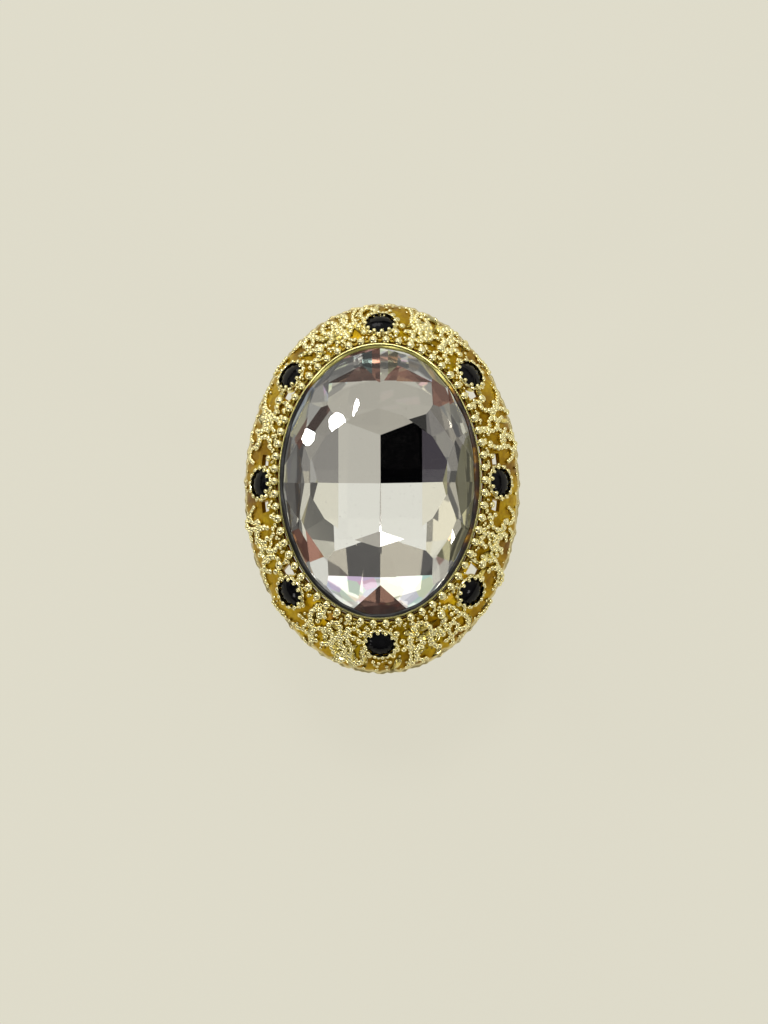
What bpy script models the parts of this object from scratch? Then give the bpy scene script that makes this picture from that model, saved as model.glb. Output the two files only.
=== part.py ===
"""Cocktail ring: a large oval faceted crystal in a domed, granulated gold-tone head with eight
round black accent stones, on a tapered shank.

Metres, +Z up. The origin is the centre of the finger hole, +Y runs along the finger and along the
oval's long axis, and +Z points from the finger to the crystal's table.
"""

import math

import bmesh
import bpy
from mathutils import Matrix, Vector

MM = 0.001

# ---- driving dimensions ------------------------------------------------------------------------
FINGER_R = 8.65 * MM  # US size 7, 17.3 mm inside diameter
STONE_A, STONE_B = 9.0 * MM, 12.5 * MM  # half of the 18 x 25 mm crystal
STONE_GAP = 0.25 * MM  # clearance between the girdle and the bezel wall
HEAD_A, HEAD_B = 12.8 * MM, 17.4 * MM  # half of the head's outline
SEAM = 0.06 * MM  # solder or cement seam between neighbouring pieces

# ---- heights above the finger's centre ---------------------------------------------------------
SADDLE_TOP = 10.25 * MM
FLOOR_BOTTOM = SADDLE_TOP + SEAM
FLOOR_TOP = 11.1 * MM
GIRDLE_BOTTOM, GIRDLE_TOP = 16.1 * MM, 16.55 * MM
PAVILION_DEPTH = 3.3 * MM
CROWN_HEIGHT = 2.3 * MM
LEDGE_TOP = 15.2 * MM
BEZEL_TOP = 17.0 * MM
DOME_TOP, DOME_SPRING, DOME_BOTTOM = 16.3 * MM, 12.2 * MM, 11.5 * MM

# ---- derived ovals -----------------------------------------------------------------------------
BEZEL_IN_A, BEZEL_IN_B = STONE_A + STONE_GAP, STONE_B + STONE_GAP
BEZEL_WALL = 0.15 * MM
BEZEL_OUT_A, BEZEL_OUT_B = BEZEL_IN_A + BEZEL_WALL, BEZEL_IN_B + BEZEL_WALL
DOME_IN_A, DOME_IN_B = BEZEL_OUT_A + SEAM, BEZEL_OUT_B + SEAM
DOME_CENTRE_A, DOME_CENTRE_B = DOME_IN_A + 0.28 * MM, DOME_IN_B + 0.28 * MM
DOME_WALL = 0.7 * MM
DOME_POWER = 1.65  # 1 is an elliptical dome, 2 a straight bevel
DOME_SEGMENTS = 60

# ---- centre crystal's facets, for one quarter --------------------------------------------------
CROWN_FACETS = (  # outward direction in x and y, tilt in degrees, reach at table height in mm
    (1.0, 0.0, 40.4, 6.30),
    (0.59, 0.81, 22.9, 5.98),
    (0.0, 1.0, 21.3, 6.60),
    (0.86, 0.51, 21.0, 6.20),
    (0.30, 0.954, 15.0, 6.15),
)
PAVILION_FACETS = (  # slope in x, slope in y, depth in mm where the plane crosses the axis
    (0.150, 0.100, 3.300),
    (0.290, 0.100, 3.846),
    (0.500, 0.048, 5.064),
    (0.085, 0.280, 4.110),
    (0.428, 0.193, 5.135),
    (0.385, 0.280, 5.490),
    (0.010, 0.380, 5.035),
)

# ---- accent stones -----------------------------------------------------------------------------
CUP_PLACES = (  # turn round the oval and place down the dome's slope, in degrees
    (90, 35),
    (42, 38),
    (0, 35.6),
    (-42, 38),
    (-90, 35),
    (-138, 38),
    (180, 35.6),
    (138, 38),
)
CUP_TEETH = 12
CUP_R = 1.6 * MM
CUP_DEPTH = 0.42 * MM
PEG_R, PEG_DEPTH = 0.9 * MM, 1.0 * MM
ACCENT_R = 1.36 * MM

# ---- windows beside the side and diagonal cups -------------------------------------------------
WINDOWS = (  # turn, slope, width along the rim, height up the slope; mirrored into four quarters
    (8.8, 32.6, 0.9 * MM, 1.0 * MM),
    (36.4, 22.8, 0.75 * MM, 1.3 * MM),
)


def clear_scene():
    for obj in list(bpy.data.objects):
        bpy.data.objects.remove(obj)


def finish(name, mesh_data, material, smooth_deg=None):
    """Turns a bmesh into a named object whose faces point outwards."""
    bmesh.ops.recalc_face_normals(mesh_data, faces=mesh_data.faces)
    mesh = bpy.data.meshes.new(name)
    mesh_data.to_mesh(mesh)
    mesh_data.free()
    if smooth_deg is not None:
        mesh.shade_smooth()
        mesh.set_sharp_from_angle(angle=math.radians(smooth_deg))
    obj = bpy.data.objects.new(name, mesh)
    mesh.materials.append(material)
    bpy.context.scene.collection.objects.link(obj)
    return obj


def make_material(name, colour, metallic, roughness):
    material = bpy.data.materials.new(name)
    material.use_nodes = True
    shader = material.node_tree.nodes["Principled BSDF"]
    shader.inputs["Base Color"].default_value = (*colour, 1)
    shader.inputs["Metallic"].default_value = metallic
    shader.inputs["Roughness"].default_value = roughness
    return material


def loft(rows, closed=False):
    """Rings of points joined by quads. The end rings are capped, or joined to each other if closed."""
    bm = bmesh.new()
    rings = [[bm.verts.new(point) for point in row] for row in rows]
    pairs = list(zip(rings, rings[1:]))
    if closed:
        pairs.append((rings[-1], rings[0]))
    else:
        bm.faces.new(rings[0])
        bm.faces.new(rings[-1])
    for low, high in pairs:
        for i in range(len(low)):
            j = (i + 1) % len(low)
            bm.faces.new((low[i], low[j], high[j], high[i]))
    return bm


def oval(a, b, z, segments):
    turns = [2 * math.pi * i / segments for i in range(segments)]
    return [(a * math.cos(turn), b * math.sin(turn), z) for turn in turns]


def circle(radius, z, segments):
    return oval(radius, radius, z, segments)


# ---- crystal -----------------------------------------------------------------------------------
def cut_gem(bm, point, normal):
    """Grinds one facet: everything beyond the plane is removed and the cut is closed."""
    geometry = bm.verts[:] + bm.edges[:] + bm.faces[:]
    cut = bmesh.ops.bisect_plane(
        bm, geom=geometry, dist=1e-8, plane_co=point, plane_no=normal, clear_outer=True
    )
    edges = [item for item in cut["geom_cut"] if isinstance(item, bmesh.types.BMEdge)]
    if edges:
        bmesh.ops.contextual_create(bm, geom=edges)


def crystal_body():
    girdle_sides = 32
    table = GIRDLE_TOP + CROWN_HEIGHT
    bm = loft(
        [
            oval(STONE_A, STONE_B, GIRDLE_BOTTOM - PAVILION_DEPTH - 0.5 * MM, girdle_sides),
            oval(STONE_A, STONE_B, table, girdle_sides),
        ]
    )
    bmesh.ops.recalc_face_normals(bm, faces=bm.faces)
    sides = [(x_side, y_side) for x_side in (1, -1) for y_side in (1, -1)]
    for out_x, out_y, tilt_deg, reach in CROWN_FACETS:
        tilt = math.radians(tilt_deg)
        for x_side, y_side in sides:
            if (out_x == 0 and x_side < 0) or (out_y == 0 and y_side < 0):
                continue
            outward = Vector((out_x * x_side, out_y * y_side, 0)).normalized()
            normal = outward * math.sin(tilt) + Vector((0, 0, math.cos(tilt)))
            cut_gem(bm, outward * reach * MM + Vector((0, 0, table)), normal)
    # sixteen small facets tangent to the girdle oval, above it and below it
    for i in range(16):
        turn = math.radians(11.25 + 22.5 * i)
        rim = Vector((STONE_A * math.cos(turn), STONE_B * math.sin(turn), 0))
        outward = Vector((math.cos(turn) / STONE_A, math.sin(turn) / STONE_B, 0)).normalized()
        tilt = math.radians(29.5 + 19 * abs(outward.x) ** 3)
        normal = outward * math.sin(tilt) + Vector((0, 0, math.cos(tilt)))
        cut_gem(bm, rim + Vector((0, 0, GIRDLE_TOP)), normal)
        tilt = math.radians(50)
        normal = outward * math.sin(tilt) - Vector((0, 0, math.cos(tilt)))
        cut_gem(bm, rim + Vector((0, 0, GIRDLE_BOTTOM)), normal)
    for slope_x, slope_y, depth in PAVILION_FACETS:
        for x_side, y_side in sides:
            normal = Vector((slope_x * x_side, slope_y * y_side, -1))
            cut_gem(bm, Vector((0, 0, GIRDLE_BOTTOM - depth * MM)), normal)
    return bm


def make_crystal(glass):
    return finish("centre_crystal", crystal_body(), glass)


def make_foil(silver):
    """The mirror layer behind the pavilion: its facets, dropped by a seam and thickened outwards."""
    bm = crystal_body()
    bmesh.ops.recalc_face_normals(bm, faces=bm.faces)
    above = [face for face in bm.faces if face.normal.z > -0.2]
    bmesh.ops.delete(bm, geom=above, context="FACES")
    bmesh.ops.translate(bm, verts=bm.verts, vec=(0, 0, -SEAM))
    mesh = bpy.data.meshes.new("foil_backing")
    bm.to_mesh(mesh)
    bm.free()
    mesh.materials.append(silver)
    obj = bpy.data.objects.new("foil_backing", mesh)
    bpy.context.scene.collection.objects.link(obj)
    wall = obj.modifiers.new("wall", "SOLIDIFY")
    wall.thickness = 0.12 * MM
    wall.offset = 1
    wall.use_even_offset = True
    return obj


# ---- bezel -------------------------------------------------------------------------------------
def make_bezel_cup(gold):
    """An oval cup: flat floor on the shank's saddle, a ledge under the girdle, a thin upstanding wall."""
    ledge = 0.45 * MM
    lip = 0.1 * MM
    segments = 64
    rows = [
        oval(BEZEL_OUT_A - 0.5 * MM, BEZEL_OUT_B - 0.5 * MM, FLOOR_BOTTOM, segments),
        oval(BEZEL_OUT_A, BEZEL_OUT_B, FLOOR_BOTTOM + 0.5 * MM, segments),
        oval(BEZEL_OUT_A, BEZEL_OUT_B, BEZEL_TOP - lip, segments),
        oval(BEZEL_OUT_A - lip, BEZEL_OUT_B - lip, BEZEL_TOP, segments),
        oval(BEZEL_IN_A, BEZEL_IN_B, BEZEL_TOP, segments),
        oval(BEZEL_IN_A, BEZEL_IN_B, LEDGE_TOP, segments),
        oval(BEZEL_IN_A - ledge, BEZEL_IN_B - ledge, LEDGE_TOP, segments),
        oval(BEZEL_IN_A - ledge, BEZEL_IN_B - ledge, FLOOR_TOP, segments),
    ]
    return finish("bezel_cup", loft(rows), gold, 35)


def make_cement(dark):
    """The dark bead of cement in the groove between the girdle and the bezel wall."""
    segments = 64
    inner, outer = STONE_GAP - 0.08 * MM, SEAM
    rows = [
        oval(BEZEL_IN_A - outer, BEZEL_IN_B - outer, LEDGE_TOP + SEAM, segments),
        oval(BEZEL_IN_A - outer, BEZEL_IN_B - outer, GIRDLE_TOP - 0.1 * MM, segments),
        oval(BEZEL_IN_A - inner, BEZEL_IN_B - inner, GIRDLE_BOTTOM + 0.1 * MM, segments),
        oval(BEZEL_IN_A - inner, BEZEL_IN_B - inner, LEDGE_TOP + SEAM, segments),
    ]
    return finish("cement_ring", loft(rows, closed=True), dark, 35)


def make_beaded_border(gold):
    """The pearl-wire border on the dome's inner edge: a four-sided ring that swells at each bead."""
    beads = 64
    bead_r, neck_r = 0.34 * MM, 0.2 * MM
    centre_a = BEZEL_OUT_A + SEAM + bead_r
    centre_b = BEZEL_OUT_B + SEAM + bead_r
    height = DOME_TOP + SEAM + bead_r
    rows = []
    for corner in range(4):
        angle = math.radians(90 * corner)
        row = []
        for i in range(2 * beads):
            turn = math.pi * i / beads
            radius = bead_r if i % 2 == 0 else neck_r
            out, up = radius * math.cos(angle), radius * math.sin(angle)
            place = (math.cos(turn) * (centre_a + out), math.sin(turn) * (centre_b + out))
            row.append((*place, height + up))
        rows.append(row)
    return finish("beaded_border", loft(rows, closed=True), gold, 35)


# ---- domed frame -------------------------------------------------------------------------------
def dome_point(turn_deg, slope_deg, sink=0.0):
    """A point of the dome's face: turn round the oval, slope from 0 at the bezel to 90 at the rim."""
    turn, slope = math.radians(turn_deg), math.radians(slope_deg)
    outward = math.sin(slope) ** DOME_POWER
    upward = max(0.0, math.cos(slope)) ** DOME_POWER
    reach_a = DOME_CENTRE_A + (HEAD_A - DOME_CENTRE_A - sink) * outward
    reach_b = DOME_CENTRE_B + (HEAD_B - DOME_CENTRE_B - sink) * outward
    height = DOME_SPRING + (DOME_TOP - DOME_SPRING - sink) * upward
    return Vector((reach_a * math.cos(turn), reach_b * math.sin(turn), height))


def dome_frame(turn_deg, slope_deg):
    """Position and axes on the dome's face: along the rim, up the slope, and outwards."""
    step = 0.5
    here = dome_point(turn_deg, slope_deg)
    along = (dome_point(turn_deg + step, slope_deg) - here).normalized()
    up = (dome_point(turn_deg, slope_deg - step) - here).normalized()
    out = along.cross(up).normalized()
    up = out.cross(along)
    return here, along, up, out


def placed(here, along, up, out):
    turned = Matrix((along, up, out)).transposed().to_4x4()
    return Matrix.Translation(here) @ turned


def cutter(name, bm, matrix):
    bmesh.ops.recalc_face_normals(bm, faces=bm.faces)
    mesh = bpy.data.meshes.new(name)
    bm.to_mesh(mesh)
    bm.free()
    obj = bpy.data.objects.new(name, mesh)
    obj.matrix_world = matrix
    obj.hide_render = True
    obj.display_type = "WIRE"
    bpy.context.scene.collection.objects.link(obj)
    return obj


def window_tools(reach):
    """Two windows beside each side cup, and one beside each diagonal cup, on its side-cup side."""
    corners = ((1, 1), (-1, 1), (-1, -1), (1, -1))
    tools = []
    for turn_deg, slope_deg, width, height in WINDOWS:
        for mirrored in (turn_deg, 180 - turn_deg, 180 + turn_deg, -turn_deg):
            block = loft(
                [[(x * width / 2, y * height / 2, z) for x, y in corners] for z in (-reach, reach)]
            )
            matrix = placed(*dome_frame(mirrored, slope_deg))
            tools.append(cutter(f"window_tool_{len(tools) + 1}", block, matrix))
    return tools


def make_frame(gold):
    segments = DOME_SEGMENTS
    slopes = (0, 17, 33, 49, 64, 78, 90)
    turns = [360 * i / segments for i in range(segments)]
    outer = [[dome_point(turn, slope) for turn in turns] for slope in slopes]
    inner = [[dome_point(turn, slope, DOME_WALL) for turn in turns] for slope in reversed(slopes)]
    rim = 0.15 * MM
    rows = [oval(DOME_IN_A, DOME_IN_B, DOME_TOP, segments)]
    rows += outer
    rows.append(oval(HEAD_A, HEAD_B, DOME_BOTTOM + rim, segments))
    rows.append(oval(HEAD_A - rim, HEAD_B - rim, DOME_BOTTOM, segments))
    rows.append(oval(HEAD_A - DOME_WALL, HEAD_B - DOME_WALL, DOME_BOTTOM, segments))
    rows += inner
    rows.append(oval(DOME_IN_A, DOME_IN_B, DOME_TOP - DOME_WALL, segments))
    frame = finish("filigree_frame", loft(rows, closed=True), gold, 40)
    reach = 2.4 * MM
    cuts = window_tools(reach)
    seat = ((PEG_R, -reach), (PEG_R, -CUP_DEPTH), (CUP_R, -CUP_DEPTH), (CUP_R, reach))
    for number, (turn_deg, slope_deg) in enumerate(CUP_PLACES, 1):
        tool = loft([circle(radius + SEAM, height - SEAM, 24) for radius, height in seat])
        cuts.append(cutter(f"seat_tool_{number}", tool, placed(*dome_frame(turn_deg, slope_deg))))
    for tool in cuts:
        cut = frame.modifiers.new(tool.name, "BOOLEAN")
        cut.operation = "DIFFERENCE"
        cut.solver = "EXACT"
        cut.object = tool
    return frame


# ---- accent cups and stones --------------------------------------------------------------------
def make_cup_mesh():
    """A shallow pegged cup whose lip carries twelve claws, in its own frame: +Z out of the dome."""
    segments = 2 * CUP_TEETH
    inner_r = ACCENT_R + SEAM
    claw, dip = 0.5 * MM, 0.26 * MM
    rows = [
        circle(PEG_R, -PEG_DEPTH, segments),
        circle(PEG_R, -CUP_DEPTH, segments),
        circle(CUP_R, -CUP_DEPTH, segments),
        circle(CUP_R, 0.12 * MM, segments),
    ]
    for radius in (CUP_R - 0.06 * MM, inner_r):
        ring = circle(radius, 0, segments)
        rows.append([(x, y, claw if i % 2 == 0 else dip) for i, (x, y, _) in enumerate(ring)])
    rows.append(circle(inner_r, -0.2 * MM, segments))
    return loft(rows)


def make_accent_mesh():
    """A round, flat-backed black stone: flat table, two crown tiers and a girdle."""
    sides = 12
    rows = [
        circle(ACCENT_R, -0.14 * MM, sides),
        circle(ACCENT_R, 0.02 * MM, sides),
        circle(1.08 * MM, 0.4 * MM, sides),
        circle(0.68 * MM, 0.55 * MM, sides),
    ]
    return loft(rows)


def make_accents(gold, jet):
    for number, (turn_deg, slope_deg) in enumerate(CUP_PLACES, 1):
        matrix = placed(*dome_frame(turn_deg, slope_deg))
        cup = finish(f"accent_cup_{number}", make_cup_mesh(), gold, 40)
        cup.matrix_world = matrix
        stone = finish(f"accent_stone_{number}", make_accent_mesh(), jet)
        stone.matrix_world = matrix


# ---- shank -------------------------------------------------------------------------------------
def smooth_step(share):
    return share * share * (3 - 2 * share)


def make_shank(gold):
    """A closed band with a comfort-rounded bore. It widens and thickens towards the flat saddle
    that the bezel cup is soldered to."""
    base_half, top_half = 1.6 * MM, 4.2 * MM
    base_thick, top_thick = 1.35 * MM, 2.3 * MM
    comfort = 0.15 * MM
    segments = 60
    profile = (  # share of the half width, share of the thickness
        (0.0, 0.0),
        (0.6, 0.0),
        (1.0, 0.12),
        (1.0, 0.5),
        (0.62, 0.9),
        (0.0, 1.0),
        (-0.62, 0.9),
        (-1.0, 0.5),
        (-1.0, 0.12),
        (-0.6, 0.0),
    )
    rows = []
    for across, through in profile:
        row = []
        for i in range(segments):
            turn = 2 * math.pi * i / segments
            widen = smooth_step((1 + math.sin(turn)) / 2)
            thicken = smooth_step(max(0.0, math.sin(turn)))
            half = base_half + (top_half - base_half) * widen
            thick = base_thick + (top_thick - base_thick) * thicken
            radius = FINGER_R + comfort * across * across + thick * through
            height = min(radius * math.sin(turn), SADDLE_TOP)
            row.append((radius * math.cos(turn), half * across, height))
        rows.append(row)
    return finish("shank", loft(rows, closed=True), gold, 35)


def main():
    clear_scene()
    gold = make_material("gold_plate", (0.83, 0.66, 0.27), 1.0, 0.18)
    glass = make_material("crystal_glass", (0.9, 0.9, 0.88), 0.0, 0.02)
    silver = make_material("silver_foil", (0.78, 0.77, 0.75), 1.0, 0.08)
    jet = make_material("jet_glass", (0.01, 0.01, 0.012), 0.0, 0.05)
    dark = make_material("dark_cement", (0.03, 0.02, 0.015), 0.0, 0.6)
    make_shank(gold)
    make_bezel_cup(gold)
    make_cement(dark)
    make_foil(silver)
    make_crystal(glass)
    make_frame(gold)
    make_beaded_border(gold)
    make_accents(gold, jet)


main()
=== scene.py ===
import math

import bmesh
import bpy
import numpy as np
from mathutils import Matrix, Vector


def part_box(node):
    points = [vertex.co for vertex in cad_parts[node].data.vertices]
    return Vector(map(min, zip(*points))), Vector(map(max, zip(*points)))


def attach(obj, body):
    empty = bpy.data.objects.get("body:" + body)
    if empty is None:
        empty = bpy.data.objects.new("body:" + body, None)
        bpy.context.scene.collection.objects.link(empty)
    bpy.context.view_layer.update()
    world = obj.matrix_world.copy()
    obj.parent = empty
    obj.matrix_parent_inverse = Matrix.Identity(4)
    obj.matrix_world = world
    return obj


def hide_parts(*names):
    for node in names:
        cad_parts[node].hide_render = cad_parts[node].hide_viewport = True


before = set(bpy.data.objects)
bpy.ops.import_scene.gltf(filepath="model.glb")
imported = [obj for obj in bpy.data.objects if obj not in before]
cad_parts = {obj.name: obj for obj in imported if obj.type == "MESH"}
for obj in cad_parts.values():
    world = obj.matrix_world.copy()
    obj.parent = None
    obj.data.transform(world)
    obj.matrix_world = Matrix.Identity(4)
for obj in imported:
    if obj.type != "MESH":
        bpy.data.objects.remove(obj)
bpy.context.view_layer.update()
mm = 0.001
chance = np.random.default_rng(18)
print("frame loaded")


def added(name, data):
    item = bpy.data.objects.new(name, data)
    bpy.context.scene.collection.objects.link(item)
    return item


def newNode(tree, kind, values=()):
    # values are the starting values of named inputs
    node = tree.nodes.new("ShaderNode" + kind)
    for name, value in dict(values).items():
        node.inputs[name].default_value = value
    return node


def feed(node, name, source):
    node.id_data.links.new(source, node.inputs[name])


def emptyTree(owner, outputKind, shaderKind):
    # a material's or the world's nodes, cleared down to one shader wired to the output
    owner.use_nodes = True
    tree = owner.node_tree
    tree.nodes.clear()
    shader = newNode(tree, shaderKind)
    feed(newNode(tree, outputKind), "Surface", shader.outputs[0])
    return tree, shader


def newMaterial(name, metallic=0.0):
    material = bpy.data.materials.new(name)
    tree, shader = emptyTree(material, "OutputMaterial", "BsdfPrincipled")
    shader.inputs["Metallic"].default_value = metallic
    return material, tree, shader


def noise(tree, scale, detail=3.0, stretch=(1, 1, 1)):
    # clouds of the given scale (per metre) on object coordinates
    mapping = newNode(tree, "Mapping", {"Scale": stretch})
    cloud = newNode(tree, "TexNoise", {"Scale": scale, "Detail": detail})
    feed(mapping, "Vector", newNode(tree, "TexCoord").outputs["Object"])
    feed(cloud, "Vector", mapping.outputs["Vector"])
    return cloud.outputs["Fac"]


def ramp(factor, stops):
    node = newNode(factor.id_data, "ValToRGB")
    feed(node, "Fac", factor)
    points = node.color_ramp.elements
    while len(points) < len(stops):
        points.new(0.5)
    for point, (place, colour) in zip(points, stops):
        point.position = place
        point.color = (*colour, 1)
    return node.outputs["Color"]


def spread(factor, low, high):
    # the factor's 0 to 1 stretched to low to high
    node = newNode(factor.id_data, "MapRange", {"To Min": low, "To Max": high})
    feed(node, "Value", factor)
    return node.outputs["Result"]


def blended(tree, kind, factor, first, second):
    # a colour mix; each of the three inputs is a number, a colour or a node's output
    node = newNode(tree, "Mix")
    node.data_type = "RGBA"
    node.blend_type = kind
    for value, socket in ((factor, node.inputs[0]), (first, node.inputs[6]), (second, node.inputs[7])):
        if isinstance(value, (int, float)):
            socket.default_value = value
        elif isinstance(value, tuple):
            socket.default_value = (*value, 1)
        else:
            tree.links.new(value, socket)
    return node.outputs[2]


def bumped(shader, height, strength, distance):
    node = newNode(shader.id_data, "Bump", {"Strength": strength, "Distance": distance})
    feed(node, "Height", height)
    feed(shader, "Normal", node.outputs["Normal"])


def attribute(tree, name, output="Fac"):
    node = newNode(tree, "Attribute")
    node.attribute_name = name
    return node.outputs[output]


goldLook = {
    # lacquer left in the hollows, with painted shade there, the flanks, and raised, rubbed gold, palest as a
    # painted highlight on the tops
    "tones": [(0.34, (0.13, 0.05, 0.004)), (0.66, (0.40, 0.32, 0.06)), (1.1, (1.0, 0.91, 0.50))],
    "rough": (0.05, 0.2),
}


def makeReliefGold():
    # colour follows the painted "lift": 0 at the dome's surface, 1 at the top of the relief; low parts are darkened
    # as painted shade and tops brightened as a painted highlight, over lacquer in the hollows and rubbed gold on
    # top
    material, tree, shader = newMaterial("reliefGold", 1.0)
    lift = attribute(tree, "lift")
    cloud = noise(tree, 900)
    # lift and clouds together: rubbed wear, with painted shade low down and a painted highlight on top
    wornAndShaded = blended(tree, "ADD", 0.35, lift, cloud)
    feed(shader, "Base Color", ramp(wornAndShaded, goldLook["tones"]))
    feed(shader, "Roughness", spread(cloud, *goldLook["rough"]))
    bumped(shader, noise(tree, 4200, 2), 0.25, 0.05 * mm)
    return material


lacquerLook = {
    "ochres": [(0.30, (0.24, 0.11, 0.001)), (0.5, (0.52, 0.31, 0.002)), (0.72, (0.74, 0.52, 0.012))],
    "mottle": [(0.3, (0.5, 0.45, 0.35)), (0.65, (1, 1, 1))],
    "crease": (0.17, 0.055, 0.004),
    "rubbed": (0.78, 0.68, 0.36),
    "rough": (0.3, 0.5),
}


def makeLacquer():
    # satin ochre lacquer over the dome; the painted "lift" runs from 0, brown in the crease
    # beside the border, through 0.5, ochre, to 1, rubbed bare gold on the rim
    material, tree, shader = newMaterial("ochreLacquer", 0.96)
    cloud = noise(tree, 420, 4)
    fine = noise(tree, 2600, 3)
    ochre = ramp(cloud, lacquerLook["ochres"])
    ochre = blended(tree, "MULTIPLY", 0.6, ochre, ramp(fine, lacquerLook["mottle"]))
    lift = blended(tree, "ADD", 1.0, attribute(tree, "lift"), spread(fine, -0.16, 0.16))
    crease = ramp(lift, [(0.04, (1, 1, 1)), (0.26, (0, 0, 0))])
    bare = ramp(lift, [(0.62, (0, 0, 0)), (0.9, (1, 1, 1))])
    colour = blended(tree, "MIX", crease, ochre, lacquerLook["crease"])
    colour = blended(tree, "MIX", bare, colour, lacquerLook["rubbed"])
    feed(shader, "Base Color", colour)
    feed(shader, "Roughness", spread(fine, *lacquerLook["rough"]))
    shader.inputs["Coat Weight"].default_value = 0.12
    shader.inputs["Coat Roughness"].default_value = 0.2
    bumped(shader, noise(tree, 1900, 4), 0.6, 0.07 * mm)
    return material


def makePlainGold(name, colour, rough, grain):
    # polished plate with faint wear clouds and long fine polishing marks
    material, tree, shader = newMaterial(name, 1.0)
    cloud = noise(tree, 260, 4)
    tone = ramp(cloud, [(0.3, tuple(0.82 * part for part in colour)), (0.7, colour)])
    feed(shader, "Base Color", tone)
    marks = noise(tree, 700, 3, grain)
    feed(shader, "Roughness", spread(marks, rough * 0.6, rough * 1.5))
    bumped(shader, noise(tree, 2500, 2, grain), 0.12, 0.02 * mm)
    return material


def makeGlass():
    material, tree, shader = newMaterial("crystalGlass")
    shader.inputs["Base Color"].default_value = (0.97, 0.975, 0.965, 1)
    shader.inputs["Transmission Weight"].default_value = 1.0
    shader.inputs["IOR"].default_value = 1.52
    # barely visible handling smears
    smear = noise(tree, 340, 4)
    feed(shader, "Roughness", spread(smear, 0.0, 0.012))
    return material


def makeFoil():
    # mirror coat behind the pavilion, each facet with its own painted tone: a painted reflection, light or dark,
    # fixed on that facet
    material, tree, shader = newMaterial("foilMirror", 1.0)
    paintedTone = attribute(tree, "paintedTone", "Color")
    speck = noise(tree, 5200, 2)
    flaws = ramp(speck, [(0.2, (0.72, 0.7, 0.68)), (0.34, (1, 1, 1))])
    coat = blended(tree, "MULTIPLY", 1.0, paintedTone, flaws)
    feed(shader, "Base Color", coat)
    # painted glow: the coat gives off a little light of its own, which keeps the deepest facets from going dead,
    # and where it is strongest it is broken into pale colours as painted fire
    cells = newNode(tree, "TexVoronoi", {"Scale": 620})
    feed(cells, "Vector", newNode(tree, "TexCoord").outputs["Object"])
    fire = blended(tree, "MIX", 0.62, cells.outputs["Color"], (1.0, 1.0, 1.0))
    paintedGlow = attribute(tree, "paintedGlow", "Color")
    coloured = blended(tree, "MULTIPLY", 1.0, paintedGlow, fire)
    strong = ramp(paintedGlow, [(0.15, (0, 0, 0)), (0.4, (1, 1, 1))])
    feed(shader, "Emission Color", blended(tree, "MIX", strong, paintedGlow, coloured))
    shader.inputs["Emission Strength"].default_value = 1.0
    feed(shader, "Roughness", spread(noise(tree, 300, 3), 0.01, 0.045))
    return material


def makeJet():
    material, tree, shader = newMaterial("jetGlass")
    cloud = noise(tree, 1800, 3)
    colour = ramp(cloud, [(0.3, (0.0015, 0.0015, 0.002)), (0.75, (0.006, 0.006, 0.008))])
    feed(shader, "Base Color", colour)
    feed(shader, "Roughness", spread(cloud, 0.03, 0.1))
    shader.inputs["IOR"].default_value = 1.5
    shader.inputs["Specular IOR Level"].default_value = 0.13
    return material


def makeCement():
    # glossy black cement, its black also painted shade standing in for the shadow in the gap round the crystal;
    # where the painted "lift" is high the gold under it shows through
    material, tree, shader = newMaterial("darkCementAndShade")
    cloud = noise(tree, 620, 4)
    bare = blended(tree, "ADD", 1.0, attribute(tree, "lift"), spread(cloud, -0.5, 0.5))
    colour = ramp(bare, [
        (0.22, (0.002, 0.0016, 0.001)), (0.42, (0.06, 0.02, 0.002)),
        (0.58, (0.30, 0.16, 0.02)), (0.8, (0.42, 0.38, 0.12)),
    ])
    feed(shader, "Base Color", colour)
    metal = ramp(bare, [(0.35, (0, 0, 0)), (0.6, (1, 1, 1))])
    feed(shader, "Metallic", metal)
    feed(shader, "Roughness", spread(cloud, 0.22, 0.42))
    bumped(shader, noise(tree, 1500, 3), 0.4, 0.05 * mm)
    return material


reliefGold = makeReliefGold()
lacquer = makeLacquer()
rimGold = makePlainGold("rimGold", (0.72, 0.62, 0.33), 0.3, (1, 1, 1))
bezelGold = makePlainGold("bezelGold", (0.66, 0.60, 0.25), 0.16, (1, 1, 6))
shankGold = makePlainGold("shankGold", (0.80, 0.68, 0.36), 0.14, (4, 1, 4))
glass = makeGlass()
foil = makeFoil()
jet = makeJet()
cement = makeCement()
print("finishes made")


def smoothStep(share):
    return share * share * (3 - 2 * share)


def aroundInto(count):
    # a full turn in equal steps, the last one short of the first
    return np.linspace(0, 2 * math.pi, count, endpoint=False)


def oval(a, b, z, turn):
    # x = a cos turn, y = b sin turn
    x = a * np.cos(turn)
    return np.stack([x, b * np.sin(turn), z + 0 * x], -1)


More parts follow.
